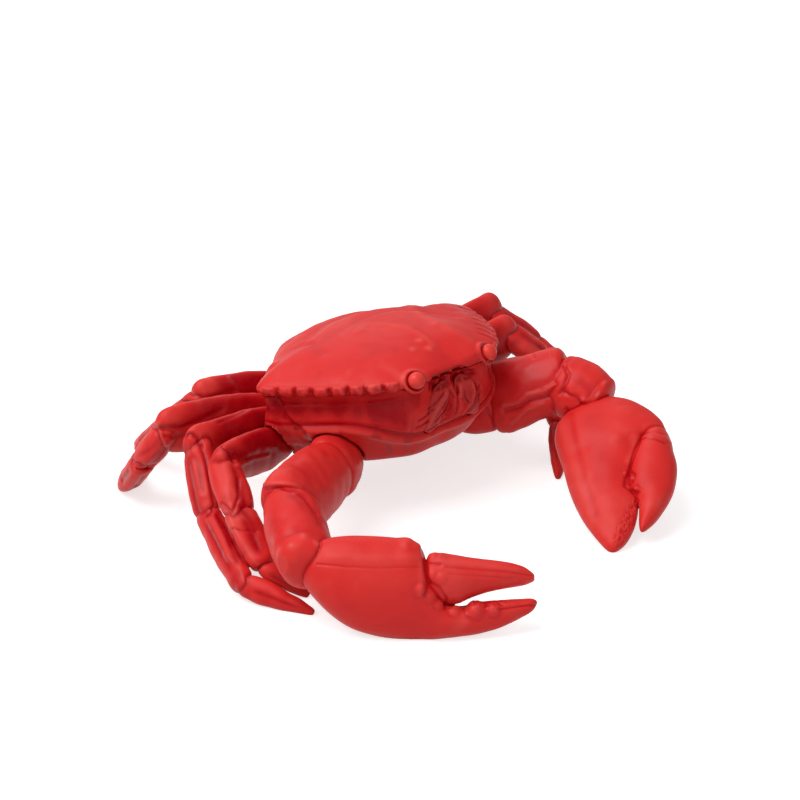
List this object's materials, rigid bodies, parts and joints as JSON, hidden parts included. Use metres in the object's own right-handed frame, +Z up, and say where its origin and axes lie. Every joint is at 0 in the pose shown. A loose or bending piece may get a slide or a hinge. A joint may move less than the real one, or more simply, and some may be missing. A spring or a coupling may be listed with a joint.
{
  "type": "crab figurine",
  "caption": "Free-standing crab ornament in cast resin painted red, with domed shell, broad pincers held out in front and jointed walking legs spread to the sides, all fixed",
  "frame": {"origin": "middle of the bounding box in plan, at the height of the level ground that the claws and the toes stand on", "axes": "+X to the crab's left side, +Y from its face to its back edge, +Z up; the crab faces -Y"},
  "size_m": [0.2215, 0.2248, 0.0684],
  "materials": {
    "body_paint": "cast resin under red paint with a darker glossy wash in the recesses, satin",
    "eye_paint": "smooth resin beads under lighter satin red paint"
  },
  "bodies": {
    "root": {"carapace": "body_paint", "underbody": "body_paint", "apron": "body_paint", "right_eye": "eye_paint", "left_eye": "eye_paint", "right_mouth_plate": "body_paint", "left_mouth_plate": "body_paint", "right_claw_shoulder": "body_paint", "right_claw_arm": "body_paint", "right_claw_wrist": "body_paint", "right_claw_palm": "body_paint", "right_claw_finger": "body_paint", "left_claw_shoulder": "body_paint", "left_claw_arm": "body_paint", "left_claw_wrist": "body_paint", "left_claw_palm": "body_paint", "left_claw_finger": "body_paint", "right_leg_1_thigh": "body_paint", "right_leg_1_knee": "body_paint", "right_leg_1_shin": "body_paint", "right_leg_1_toe": "body_paint", "right_leg_2_thigh": "body_paint", "right_leg_2_knee": "body_paint", "right_leg_2_shin": "body_paint", "right_leg_2_toe": "body_paint", "right_leg_3_thigh": "body_paint", "right_leg_3_knee": "body_paint", "right_leg_3_shin": "body_paint", "right_leg_3_toe": "body_paint", "right_leg_4_thigh": "body_paint", "right_leg_4_knee": "body_paint", "right_leg_4_shin": "body_paint", "right_leg_4_toe": "body_paint", "left_leg_1_thigh": "body_paint", "left_leg_1_knee": "body_paint", "left_leg_1_shin": "body_paint", "left_leg_1_toe": "body_paint", "left_leg_2_thigh": "body_paint", "left_leg_2_knee": "body_paint", "left_leg_2_shin": "body_paint", "left_leg_2_toe": "body_paint", "left_leg_3_thigh": "body_paint", "left_leg_3_knee": "body_paint", "left_leg_3_shin": "body_paint", "left_leg_3_toe": "body_paint", "left_leg_4_thigh": "body_paint", "left_leg_4_knee": "body_paint", "left_leg_4_shin": "body_paint", "left_leg_4_toe": "body_paint"}
  },
  "joints": []
}
